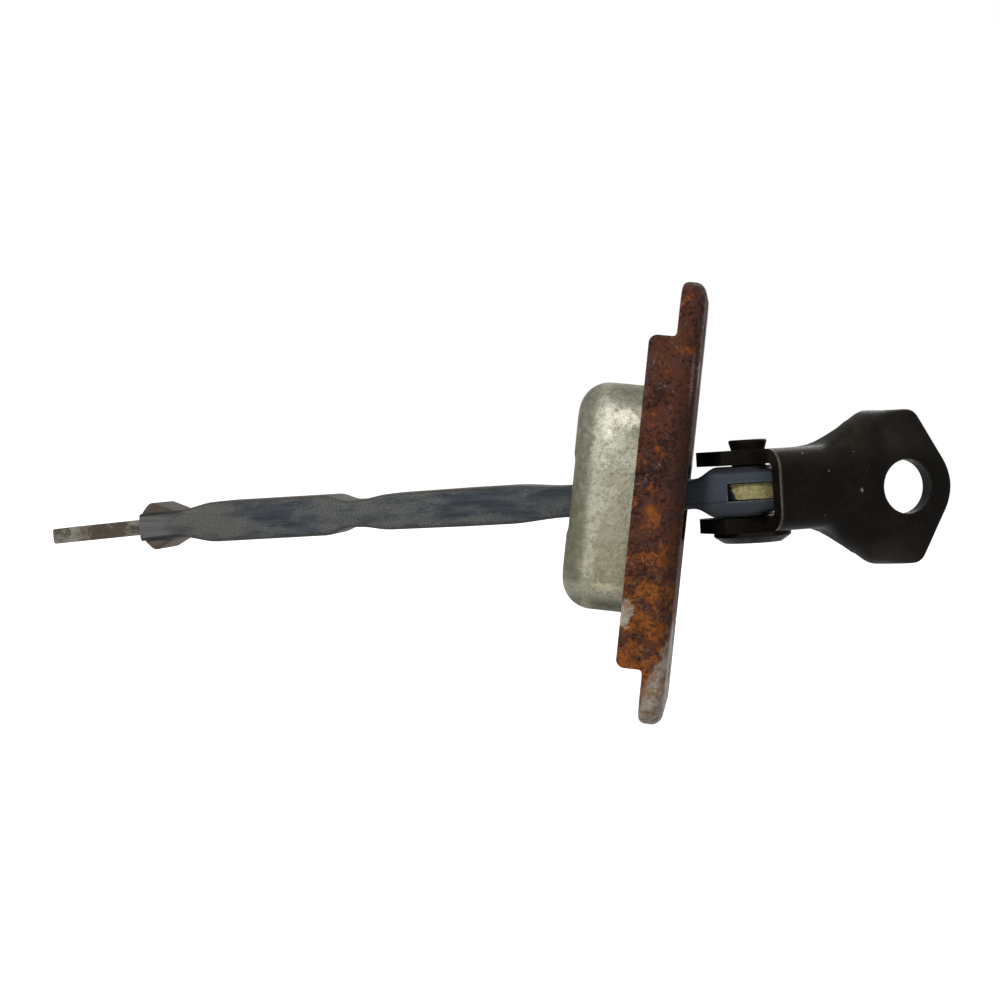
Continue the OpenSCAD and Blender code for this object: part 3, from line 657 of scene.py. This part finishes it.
def object_from(bm, name, sharp_angle=35.0):
    mesh = bpy.data.meshes.new(name)
    bm.to_mesh(mesh)
    bm.free()
    mesh.shade_smooth()
    mesh.set_sharp_from_angle(angle=math.radians(sharp_angle))
    obj = bpy.data.objects.new(name, mesh)
    bpy.context.scene.collection.objects.link(obj)
    return obj


WELD = 0.002 * MM  # vertices closer than this are one
FLAT = math.radians(0.6)  # faces that turn by less than this are joined


def merged_copy(node):
    """The node's surface as one closed mesh, its flat faces joined from their triangles."""
    source = frame["nodes"][node].data
    bm = bmesh.new()
    verts = [bm.verts.new(v.co) for v in source.vertices]
    for p in source.polygons:
        bm.faces.new([verts[i] for i in p.vertices])
    bmesh.ops.remove_doubles(bm, verts=bm.verts, dist=WELD)
    bmesh.ops.dissolve_limit(bm, angle_limit=FLAT, verts=bm.verts, edges=bm.edges)
    return bm


SHARP_EDGE = math.radians(38.0)  # edges that turn by more than this are rounded


def soften_edges(obj, width_mm):
    mod = obj.modifiers.new("Soft edges", "BEVEL")
    mod.width = width_mm * MM
    mod.segments = 2
    mod.limit_method = "ANGLE"
    mod.angle_limit = SHARP_EDGE
    mod.harden_normals = True


def round_over(bm, width_mm, chosen, segments=3, clamp=True):
    """Rounds the sharp convex edges whose middle, in mm, is among the chosen ones."""
    edges = [e for e in bm.edges
             if len(e.link_faces) == 2 and e.calc_face_angle_signed() > SHARP_EDGE
             and chosen((e.verts[0].co + e.verts[1].co) / (2 * MM))]
    bmesh.ops.bevel(bm, geom=edges, offset=width_mm * MM, offset_type="OFFSET", profile=0.5,
                    segments=segments, affect="EDGES", clamp_overlap=clamp)


def round_tip(bm, along, up, radius_mm, slices=5):
    """Rounds the far end of a bar over its thickness; along points back into the bar."""
    radius = radius_mm * MM
    ends = sorted(bm.verts, key=lambda v: v.co.dot(along))
    tip = ends[0].co.dot(along)
    heights = [v.co.dot(up) for v in ends if v.co.dot(along) < tip + radius]
    middle, half = (max(heights) + min(heights)) / 2, (max(heights) - min(heights)) / 2
    for i in range(1, slices + 1):
        cut = tip + radius * (1 - math.cos(math.pi / 2 * i / slices))
        bmesh.ops.bisect_plane(bm, geom=bm.verts[:] + bm.edges[:] + bm.faces[:], dist=1e-7,
                               plane_co=along * cut, plane_no=along)
    for v in bm.verts:
        depth = max(0.0, v.co.dot(along) - tip)
        if depth < radius:
            room = half - radius + math.sqrt(radius ** 2 - (radius - depth) ** 2)
            v.co += up * (v.co.dot(up) - middle) * (room / half - 1)


RIM_TOP = -3.4  # the plate's cut rim lies behind this x, in mm
CORNER = (13.0, 38.5)  # its four corners lie past both these y and z


def round_rim(bm):
    """Rounds the plate's cut rim: widely round its two ends, narrowly along the tall sides."""
    round_over(bm, 1.2, lambda mm: mm.x < RIM_TOP and abs(mm.z) > 33.0
               and (abs(mm.y) > CORNER[0] or abs(mm.z) > CORNER[1]), clamp=False)
    round_over(bm, 0.5, lambda mm: mm.x < RIM_TOP and abs(mm.z) < 32.0 and abs(mm.y) > 14.0)


STOPPER_GRIP = 2.4  # mm from the stopper's middle to its wings
SLIVER = 0.35 * MM  # the stopper's slivers are narrower than this


def round_wings(bm):
    """Rounds the stopper's wings above and below the strap, once their slivers are gone."""
    bmesh.ops.remove_doubles(bm, verts=bm.verts, dist=SLIVER)
    middle = middle_of(bm.verts)
    round_over(bm, 1.1, lambda mm: abs((mm * MM - middle).dot(UP)) > STOPPER_GRIP * MM,
               segments=4)


def swell_flare(bm, start=12.3, end=18.9, upper=0.06, lower=0.09):
    """Fills out the bracket where its neck opens, from start to end in mm along the web."""
    for v in bm.verts:
        along, up = (v.co - PIN).dot(WEB_ALONG) / MM, (v.co - PIN).dot(UP)
        t = min(1.0, max(0.0, (along - start) / (end - start)))
        v.co += UP * up * (upper if up > 0 else lower) * (4 * t * (1 - t)) ** 2


def dress(node, name, material, bevel_mm=0.12, sharp=35.0, shape=None):
    """Stands a finished copy in for a node: shaped, softened, painted and riding its body."""
    bm = merged_copy(node)
    if shape:
        shape(bm)
    obj = object_from(bm, name, sharp)
    if bevel_mm:
        soften_edges(obj, bevel_mm)
    obj.data.materials.append(material)
    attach(obj, frame["nodes"][node]["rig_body"])
    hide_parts(node)


# -------- threads in the tapped holes

class Geometry(Nodes):
    """The same builder for a geometry tree, with its named inputs and its end."""

    def __init__(self, name, inputs):
        tree = bpy.data.node_groups.new(name, "GeometryNodeTree")
        super().__init__(tree)
        self.ids = {}
        for title, kind, default in inputs:
            socket = tree.interface.new_socket(
                title, in_out="INPUT", socket_type="NodeSocket" + kind)
            socket.default_value = default
            self.ids[title] = socket.identifier
        tree.interface.new_socket("Geometry", in_out="OUTPUT", socket_type="NodeSocketGeometry")
        self.given = self.add("NodeGroupInput").outputs

    def end(self, geometry, material):
        real = self.add("GeometryNodeRealizeInstances", {"Geometry": geometry}).outputs[0]
        painted = self.add("GeometryNodeSetMaterial", {
            "Geometry": real, "Material": material}).outputs[0]
        self.add("NodeGroupOutput", {"Geometry": painted})
        return self


def grown(geometry, name, values):
    """Runs a geometry tree with these values and keeps the result as a plain mesh object."""
    holder = bpy.data.objects.new(name, bpy.data.meshes.new(name + "_seed"))
    bpy.context.scene.collection.objects.link(holder)
    mod = holder.modifiers.new("Shape", "NODES")
    mod.node_group = geometry.tree
    for title, value in values.items():
        mod[geometry.ids[title]] = value
    bpy.context.view_layer.update()
    evaluated = holder.evaluated_get(bpy.context.evaluated_depsgraph_get())
    mesh = bpy.data.meshes.new_from_object(evaluated)
    holder.modifiers.remove(mod)
    holder.data = mesh
    mesh.name = name
    return holder


def thread_tree(material):
    """A helical ridge in each tapped hole; the holes' mouths are at the plate's outer face."""
    g = Geometry("Tapped thread", [
        ("Core Radius", "Float", 0.0025), ("Pitch", "Float", 0.001), ("Ridge", "Float", 0.0003),
        ("Turns", "Float", 3.4), ("Spacing", "Float", 0.065), ("Mouth", "Float", 0.0005)])
    given = g.given
    height = g.times(given["Pitch"], given["Turns"])
    spiral = g.add("GeometryNodeCurveSpiral", {
        "Resolution": 40, "Rotations": given["Turns"], "Start Radius": given["Core Radius"],
        "End Radius": given["Core Radius"], "Height": height})
    profile = g.add("GeometryNodeCurvePrimitiveCircle", {"Resolution": 3, "Radius": given["Ridge"]})
    ridge = g.add("GeometryNodeCurveToMesh", {
        "Curve": spiral.outputs[0], "Profile Curve": profile.outputs[0],
        "Fill Caps": True}).outputs[0]
    lower_hole = g.add("ShaderNodeCombineXYZ", {
        "X": g.times(g.plus(height, given["Mouth"]), -1.0),
        "Z": g.times(given["Spacing"], -0.5)}).outputs[0]
    step = g.add("ShaderNodeCombineXYZ", {"Z": given["Spacing"]}).outputs[0]
    points = g.add("GeometryNodeMeshLine", {
        "Count": 2, "Start Location": lower_hole, "Offset": step}).outputs[0]
    placed = g.add("GeometryNodeInstanceOnPoints", {
        "Points": points, "Instance": ridge, "Rotation": (0.0, math.pi / 2, 0.0)}).outputs[0]
    return g.end(placed, material)


# -------- studio

WHITE = (1.0, 1.0, 1.0)


def soft_box(name, place, target, side, power):
    light = bpy.data.lights.new(name, "AREA")
    light.shape = "RECTANGLE"
    light.size = light.size_y = side
    light.energy = power
    light.color = WHITE
    obj = bpy.data.objects.new(name, light)
    obj.location = place
    obj.rotation_euler = (Vector(target) - Vector(place)).to_track_quat("-Z", "Y").to_euler()
    bpy.context.scene.collection.objects.link(obj)


def seen_white(nodes, dim, bright):
    """Shader that is dim for the light it gives and bright to the eye, to gloss and to glass."""
    path = nodes.add("ShaderNodeLightPath").outputs
    seen = nodes.plus(path["Is Camera Ray"], path["Is Glossy Ray"])
    seen = nodes.plus(seen, path["Is Transmission Ray"], clamp=True)
    return nodes.add("ShaderNodeMixShader", {0: seen, 1: dim, 2: bright}).outputs[0]


# metres: where the lamps stand and aim, the room under the lowest point, half the floor's side
KEY_PLACE = (-0.3, -0.55, 0.26)
BACK_PLACE = (0.15, 0.6, 0.45)
LIT_MIDDLE = (-0.03, 0.0, 0.0)
FLOOR_GAP = 0.0002
FLOOR_REACH = 3.0


def make_floor(s):
    low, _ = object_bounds()
    bm = bmesh.new()
    bmesh.ops.create_grid(bm, x_segments=1, y_segments=1, size=FLOOR_REACH)
    bmesh.ops.translate(bm, verts=bm.verts, vec=(0.0, 0.0, low.z - FLOOR_GAP))
    floor = object_from(bm, "floor")
    material = bpy.data.materials.new("floor_white")
    material.use_nodes = True
    n = Nodes(material.node_tree)
    n.tree.nodes.clear()
    paper = n.add("ShaderNodeBsdfDiffuse", {"Color": s.floor_colour}).outputs[0]
    glow = n.add("ShaderNodeEmission", {"Color": WHITE, "Strength": s.floor_glow}).outputs[0]
    bright = n.add("ShaderNodeAddShader", {0: paper, 1: glow}).outputs[0]
    n.add("ShaderNodeOutputMaterial", {"Surface": seen_white(n, paper, bright)})
    floor.data.materials.append(material)
    floor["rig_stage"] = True


def make_world(s):
    world = bpy.data.worlds.new("studio")
    bpy.context.scene.world = world
    world.use_nodes = True
    n = Nodes(world.node_tree)
    n.tree.nodes.clear()
    dim = n.add("ShaderNodeBackground", {"Color": WHITE, "Strength": s.fill}).outputs[0]
    bright = n.add("ShaderNodeBackground", {"Color": WHITE, "Strength": 1.0}).outputs[0]
    n.add("ShaderNodeOutputWorld", {"Surface": seen_white(n, dim, bright)})


def make_camera(s):
    """Camera on a long lens, nearly square to the strap's side, leaning about its own axis."""
    target = Vector((s.aim_x, 0.0, s.aim_z))
    back = Vector((math.sin(s.azimuth) * math.cos(s.elevation),
                   -math.cos(s.azimuth) * math.cos(s.elevation), math.sin(s.elevation)))
    right = (-back).cross(Vector((0.0, 0.0, 1.0))).normalized()
    top = right.cross(-back)
    lean_right = math.cos(s.roll) * right + math.sin(s.roll) * top
    lean_top = math.cos(s.roll) * top - math.sin(s.roll) * right
    data = bpy.data.cameras.new("camera")
    data.sensor_width = 36.0
    data.lens = s.lens
    data.clip_start, data.clip_end = 0.01, 20.0
    camera = bpy.data.objects.new("camera", data)
    camera.matrix_world = Matrix((lean_right, lean_top, back)).transposed().to_4x4()
    camera.matrix_world.translation = target + back * s.distance
    bpy.context.scene.collection.objects.link(camera)
    bpy.context.scene.camera = camera


# -------- settings

def tone(name, description, default):
    return FloatVectorProperty(name=name, description=description, default=default, size=3,
                               subtype="COLOR", min=0.0, max=1.0)


def length(name, description, default, least=0.0):
    return FloatProperty(name=name, description=description, default=default, min=least,
                         unit="LENGTH", precision=5)


def angle(name, description, degrees):
    return FloatProperty(name=name, description=description, default=math.radians(degrees),
                         subtype="ANGLE")


def share(name, description, default, top=1.0):
    return FloatProperty(name=name, description=description, default=default, min=0.0, max=top,
                         subtype="FACTOR")


class PlateSettings(bpy.types.PropertyGroup):
    rust_dark: tone("Dark scale", "Darkest rust on the plate", (0.021, 0.009, 0.0065))
    rust_body: tone("Rust", "Main colour of the rust", (0.083, 0.028, 0.0155))
    rust_orange: tone("Orange rust", "Fresh rust in the blooms", (0.27, 0.078, 0.013))
    stain: tone("Stain", "Yellow-brown stain creeping into the coating", (0.21, 0.095, 0.02))
    zinc: tone("Surviving coating", "Zinc left at the lower end", (0.34, 0.32, 0.28))
    zinc_stained: tone("Stained coating", "Zinc gone brown", (0.17, 0.12, 0.085))
    bloom: share("Bloom", "How strongly the orange rust shows", 0.85)
    thread_pitch: length("Thread pitch", "Pitch of the tapped holes' thread", 0.001)


class CaseSettings(bpy.types.PropertyGroup):
    zinc: tone("Zinc", "Darker tone of the case's coating", (0.26, 0.25, 0.185))
    zinc_pale: tone("Pale zinc", "Lighter tone of the case's coating", (0.38, 0.375, 0.3))
    yellow: tone("Passivation", "Yellow cast on the zinc", (0.2, 0.18, 0.105))
    # colours of the painted highlights high on the side and along the foot
    rubbed: tone("Rubbed zinc", "Bright zinc high on the case's side", (0.62, 0.585, 0.49))
    foot_highlight_zinc: tone("Rubbed foot", "Yellow zinc along the side's foot", (0.46, 0.43, 0.29))
    # this colour is also the painted shade on the case's rounded edges
    edge_shade_and_tarnish: tone("Tarnish", "Dulled zinc on the rounded edges", (0.09, 0.088, 0.06))


class StrapSettings(bpy.types.PropertyGroup):
    slate: tone("Slate", "Lighter tone of the jacket", (0.045, 0.052, 0.061))
    slate_dark: tone("Dark slate", "Darker tone of the jacket", (0.022, 0.028, 0.037))
    chalk_colour: tone("Chalk", "Scuffed plastic", (0.125, 0.127, 0.115))
    chalk: share("Chalkiness", "How strongly the scuffs show", 0.85)
    grease: tone("Grease", "Brown film on the broad faces", (0.05, 0.045, 0.033))
    stopper: tone("Stopper", "Plastic of the end stopper", (0.066, 0.06, 0.048))
    stopper_dark: tone("Dark stopper", "Stained plastic of the stopper", (0.045, 0.036, 0.026))
    tail_dark: tone("Dull tail", "Duller steel at the tail", (0.07, 0.063, 0.045))
    tail_light: tone("Bright tail", "Brighter zinc at the tail", (0.19, 0.18, 0.15))
    yellow: tone("Yellow zinc", "Fresh coating seen in the eye's window", (0.36, 0.31, 0.125))


class BracketSettings(bpy.types.PropertyGroup):
    coating: tone("Coating", "Black coating of the bracket and pin", (0.0042, 0.0034, 0.0028))
    coating_warm: tone("Warm coating", "Thinner, browner coating", (0.0095, 0.0068, 0.0045))
    # colour of the painted sheen towards the flare's upper and lower edges
    flare_sheen: tone("Thin coating", "Coating towards the flare's edges", (0.026, 0.022, 0.016))
    brass: tone("Worn edge", "Colour of the rubbed edges", (0.05, 0.043, 0.031))
    bright_brass: tone("Bright edge", "Colour of the web's cut edge", (0.13, 0.118, 0.09))
    edge_wear: share("Edge wear", "How much of the edges is rubbed", 0.85)


class StudioSettings(bpy.types.PropertyGroup):
    azimuth: angle("Azimuth", "Camera's turn round the part", 7.19)
    elevation: angle("Elevation", "Camera's height above the part", 2.37)
    roll: angle("Lean", "Camera's lean about its own axis", 5.71)
    distance: length("Distance", "Camera's distance from its aim", 0.364)
    aim_x: length("Aim X", "Where the camera aims, along X", -0.0365, -1.0)
    aim_z: length("Aim Z", "Where the camera aims, along Z", -0.0031, -1.0)
    lens: FloatProperty(name="Lens", description="Focal length", default=66.4, min=1.0,
                        unit="CAMERA")
    floor_colour: tone("Floor", "Colour of the floor", (0.55, 0.55, 0.55))
    floor_glow: share("Floor glow", "Light added to the floor for the eye", 0.92)
    fill: share("Fill", "Light from all round", 0.3, 2.0)
    key: FloatProperty(name="Key light", description="Power of the key light", default=3.3,
                       min=0.0, unit="POWER")
    back: share("Back light", "Power of the back light, as a share of the key's", 0.7, 2.0)


class CheckLinkSettings(bpy.types.PropertyGroup):
    plate: PointerProperty(type=PlateSettings)
    case: PointerProperty(type=CaseSettings)
    strap: PointerProperty(type=StrapSettings)
    bracket: PointerProperty(type=BracketSettings)
    studio: PointerProperty(type=StudioSettings)


def settings():
    return bpy.context.scene.check_link


# -------- operators

# Plain metals and mouldings: darker tone, lighter tone, then metallic, low and high roughness
THREAD_STEEL = ((0.09, 0.06, 0.045), (0.2, 0.17, 0.15), 0.6)
RIVET_STEEL = ((0.08, 0.05, 0.035), (0.2, 0.17, 0.14), 0.5, 0.45, 0.65)
SEAT_STEEL = ((0.24, 0.235, 0.22), (0.42, 0.41, 0.39))
ROLLER_STEEL = ((0.3, 0.3, 0.31), (0.52, 0.52, 0.53), 0.95, 0.16, 0.32)
SHADED_BUSH_BRONZE = ((0.014, 0.011, 0.008), (0.035, 0.026, 0.016), 0.5)
SPRING_RUBBER = ((0.016, 0.016, 0.018), (0.03, 0.03, 0.032), 0.75)
CARRIER_NYLON = ((0.5, 0.46, 0.34), (0.66, 0.62, 0.5), 0.5)


class CHECKLINK_OT_plate(bpy.types.Operator):
    """Dress the mounting plate and cut the threads in its two holes"""
    bl_idname = "checklink.plate"
    bl_label = "Mounting plate"

    def execute(self, context):
        s = settings().plate
        dress("mounting_plate", "plate_pressing", rusty_plate(groups(), s),
              bevel_mm=0.0, shape=round_rim)
        bright = plain_metal(groups(), "thread_steel", *THREAD_STEEL)
        thread = grown(thread_tree(bright), "hole_threads", {"Pitch": s.thread_pitch})
        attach(thread, "housing")
        return {"FINISHED"}


class CHECKLINK_OT_case(bpy.types.Operator):
    """Dress the drawn case and the rivets that hold it"""
    bl_idname = "checklink.case"
    bl_label = "Case"

    def execute(self, context):
        coating = zinc_case(groups(), settings().case)
        dress("case_cup", "case_drawing", coating, bevel_mm=0.25)
        worn = plain_metal(groups(), "rivet_steel", *RIVET_STEEL)
        dress("case_rivets", "case_rivet_heads", worn)
        return {"FINISHED"}


class CHECKLINK_OT_guide(bpy.types.Operator):
    """Dress the rubber springs, seats, carriers, rollers and axles inside the case"""
    bl_idname = "checklink.guide"
    bl_label = "Roller guide"

    def execute(self, context):
        rubber = plain_moulding(groups(), "spring_rubber", *SPRING_RUBBER)
        steel = plain_metal(groups(), "seat_steel", *SEAT_STEEL)
        roller = plain_metal(groups(), "roller_steel", *ROLLER_STEEL)
        nylon = plain_moulding(groups(), "carrier_nylon", *CARRIER_NYLON)
        for side in ("upper", "lower"):
            for node, name, material, slot, bevel_mm in (
                    ("_rubber_spring", "_rubber_block", rubber, "black_rubber", 0.3),
                    ("_spring_seat", "_seat_shell", steel, "bright_steel", 0.15),
                    ("_roller_carrier", "_carrier_block", nylon, "nylon", 0.2),
                    ("_roller", "_roller_barrel", roller, "bright_steel", 0.2),
                    ("_axle", "_axle_pin", roller, "bright_steel", 0.1)):
                dress(side + node, side + name, material, bevel_mm)
        return {"FINISHED"}


class CHECKLINK_OT_strap(bpy.types.Operator):
    """Dress the steel bar, its plastic jacket, the end stopper and the eye's bush"""
    bl_idname = "checklink.strap"
    bl_label = "Strap"

    def execute(self, context):
        s = settings().strap
        # the bare tail is worn round at its tip
        dress("strap_core", "strap_bar", strap_steel(groups(), s),
              bevel_mm=0.0, shape=lambda bm: round_tip(bm, TAIL, TAIL_UP, 1.25))
        dress("strap_jacket", "strap_moulding", jacket_plastic(groups(), s),
              bevel_mm=0.0, sharp=40.0)
        dress("end_stopper", "stopper_block", stopper_plastic(groups(), s),
              bevel_mm=0.0, shape=round_wings)
        # the bush is painted near black as painted shade, where it shows between the eye and the
        # ears
        shaded_bronze = plain_metal(groups(), "shaded_bush_bronze", *SHADED_BUSH_BRONZE)
        dress("eye_bush", "eye_bush_ring", shaded_bronze, bevel_mm=0.1)
        return {"FINISHED"}


class CHECKLINK_OT_bracket(bpy.types.Operator):
    """Dress the pressed bracket and its riveted pin"""
    bl_idname = "checklink.bracket"
    bl_label = "Bracket"

    def execute(self, context):
        coating = black_coating(groups(), settings().bracket)
        dress("pivot_bracket", "bracket_pressing", coating,
              bevel_mm=0.0, sharp=40.0, shape=swell_flare)
        dress("pivot_pin", "pivot_rivet", coating, bevel_mm=0.15)
        return {"FINISHED"}


class CHECKLINK_OT_studio(bpy.types.Operator):
    """Set up the floor, the lights and the camera"""
    bl_idname = "checklink.studio"
    bl_label = "Studio"

    def execute(self, context):
        s = settings().studio
        context.scene.view_settings.view_transform = "Standard"
        make_floor(s)
        make_world(s)
        make_camera(s)
        soft_box("key_light", KEY_PLACE, LIT_MIDDLE, 0.13, s.key)
        soft_box("back_light", BACK_PLACE, LIT_MIDDLE, 0.4, s.key * s.back)
        return {"FINISHED"}


class CHECKLINK_PT_panel(bpy.types.Panel):
    """The door check link's pieces, in the order they are made"""
    bl_idname = "CHECKLINK_PT_panel"
    bl_label = "Door check link"
    bl_space_type = "VIEW_3D"
    bl_region_type = "UI"
    bl_category = "Check Link"

    def draw(self, context):
        s = settings()
        for operator, values in STEPS:
            self.layout.operator(operator.bl_idname)
            if values is None:
                continue
            group = getattr(s, values)
            for key in group.bl_rna.properties.keys():
                if key not in {"rna_type", "name"}:
                    self.layout.prop(group, key)


# each operator with the name of its settings
STEPS = (
    (CHECKLINK_OT_plate, "plate"), (CHECKLINK_OT_case, "case"), (CHECKLINK_OT_guide, None),
    (CHECKLINK_OT_strap, "strap"), (CHECKLINK_OT_bracket, "bracket"),
    (CHECKLINK_OT_studio, "studio"),
)
CLASSES = (PlateSettings, CaseSettings, StrapSettings, BracketSettings, StudioSettings,
           CheckLinkSettings, *(step[0] for step in STEPS), CHECKLINK_PT_panel)


def register():
    for cls in CLASSES:
        bpy.utils.register_class(cls)
    bpy.types.Scene.check_link = PointerProperty(type=CheckLinkSettings)


def unregister():
    del bpy.types.Scene.check_link
    for cls in reversed(CLASSES):
        bpy.utils.unregister_class(cls)


def main():
    register()
    for operator, _ in STEPS:
        group, name = operator.bl_idname.split(".")
        getattr(getattr(bpy.ops, group), name)()


if __name__ == "__main__":
    main()
